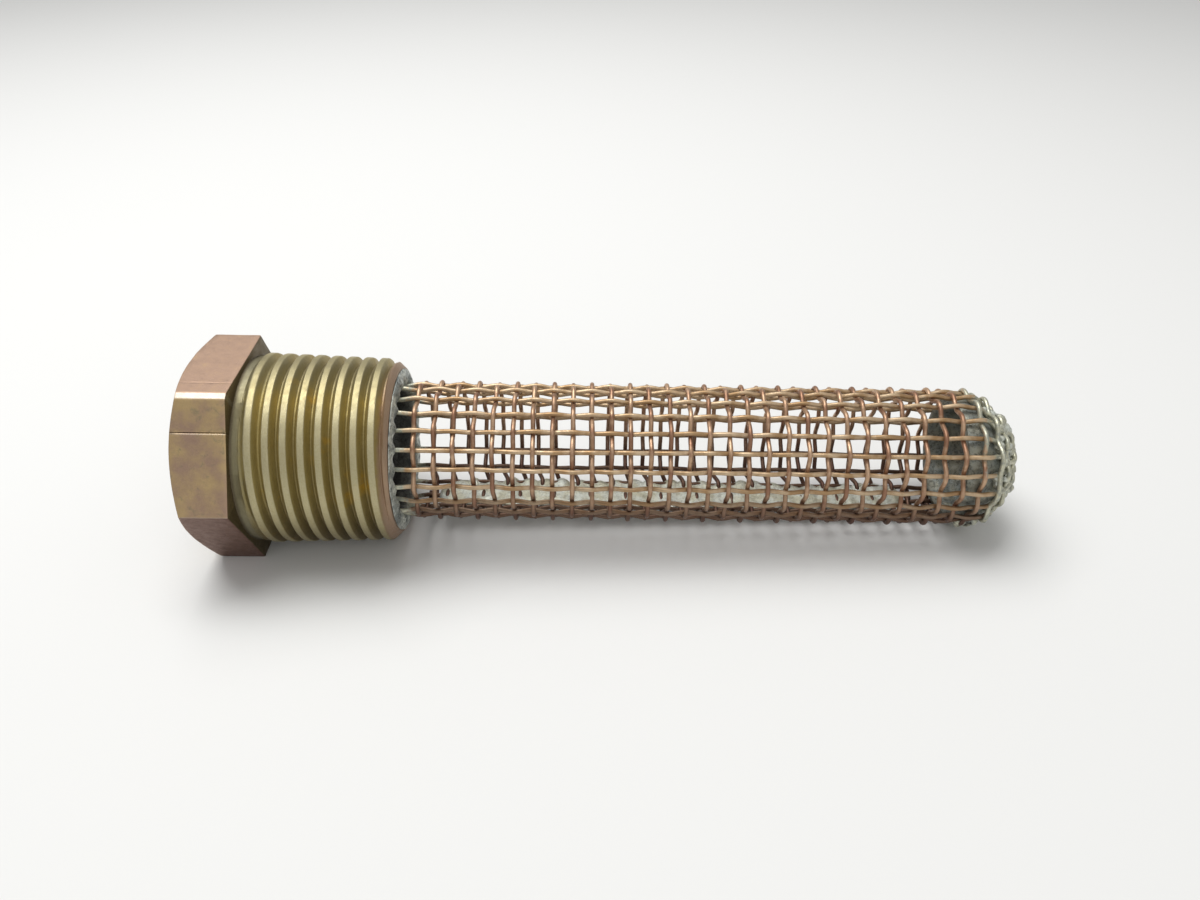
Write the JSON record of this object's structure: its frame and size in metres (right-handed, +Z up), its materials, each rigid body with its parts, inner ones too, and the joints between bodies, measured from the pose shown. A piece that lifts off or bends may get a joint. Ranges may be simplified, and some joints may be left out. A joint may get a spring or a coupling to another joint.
{
  "type": "fuel finger strainer",
  "caption": "Woven wire strainer sleeve soldered into a brass hexagon pipe bushing, lying on its side; it screws into a tank outlet and keeps debris out of a fuel line.",
  "frame": {"origin": "on the surface it lies on, under the middle of its bounding box", "axes": "+Z up, +X along the length from the hexagon towards the closed tip, -Y the side that the picture shows; the strainer's own axis dips towards the tip because the hexagon is wider than the sleeve"},
  "size_m": [0.093, 0.0256, 0.0224],
  "materials": {
    "bushing_brass": "aged, mottled tan and olive with brown stains",
    "solder": "dull grey-green tin and lead solder, lumpy",
    "tinned_cup": "dull tinned grey",
    "long_wire_bronze": "tarnished bronze wire, soft shine",
    "ring_wire_bronze": "tarnished red-brown bronze wire, soft shine"
  },
  "bodies": {
    "root": {"hex_bushing": "bushing_brass", "collar_solder": "solder", "seam_solder": "solder", "end_cup": "tinned_cup", "tip_solder": "solder", "long_wire_01": "long_wire_bronze", "long_wire_02": "long_wire_bronze", "long_wire_03": "long_wire_bronze", "long_wire_04": "long_wire_bronze", "long_wire_05": "long_wire_bronze", "long_wire_06": "long_wire_bronze", "long_wire_07": "long_wire_bronze", "long_wire_08": "long_wire_bronze", "long_wire_09": "long_wire_bronze", "long_wire_10": "long_wire_bronze", "long_wire_11": "long_wire_bronze", "long_wire_12": "long_wire_bronze", "long_wire_13": "long_wire_bronze", "long_wire_14": "long_wire_bronze", "long_wire_15": "long_wire_bronze", "long_wire_16": "long_wire_bronze", "long_wire_17": "long_wire_bronze", "long_wire_18": "long_wire_bronze", "long_wire_19": "long_wire_bronze", "long_wire_20": "long_wire_bronze", "long_wire_21": "long_wire_bronze", "long_wire_22": "long_wire_bronze", "ring_wire_01": "ring_wire_bronze", "ring_wire_02": "ring_wire_bronze", "ring_wire_03": "ring_wire_bronze", "ring_wire_04": "ring_wire_bronze", "ring_wire_05": "ring_wire_bronze", "ring_wire_06": "ring_wire_bronze", "ring_wire_07": "ring_wire_bronze", "ring_wire_08": "ring_wire_bronze", "ring_wire_09": "ring_wire_bronze", "ring_wire_10": "ring_wire_bronze", "ring_wire_11": "ring_wire_bronze", "ring_wire_12": "ring_wire_bronze", "ring_wire_13": "ring_wire_bronze", "ring_wire_14": "ring_wire_bronze", "ring_wire_15": "ring_wire_bronze", "ring_wire_16": "ring_wire_bronze", "ring_wire_17": "ring_wire_bronze", "ring_wire_18": "ring_wire_bronze", "ring_wire_19": "ring_wire_bronze", "ring_wire_20": "ring_wire_bronze", "ring_wire_21": "ring_wire_bronze", "ring_wire_22": "ring_wire_bronze", "ring_wire_23": "ring_wire_bronze", "ring_wire_24": "ring_wire_bronze", "ring_wire_25": "ring_wire_bronze", "ring_wire_26": "ring_wire_bronze", "ring_wire_27": "ring_wire_bronze", "ring_wire_28": "ring_wire_bronze", "ring_wire_29": "ring_wire_bronze", "ring_wire_30": "ring_wire_bronze"}
  },
  "joints": []
}
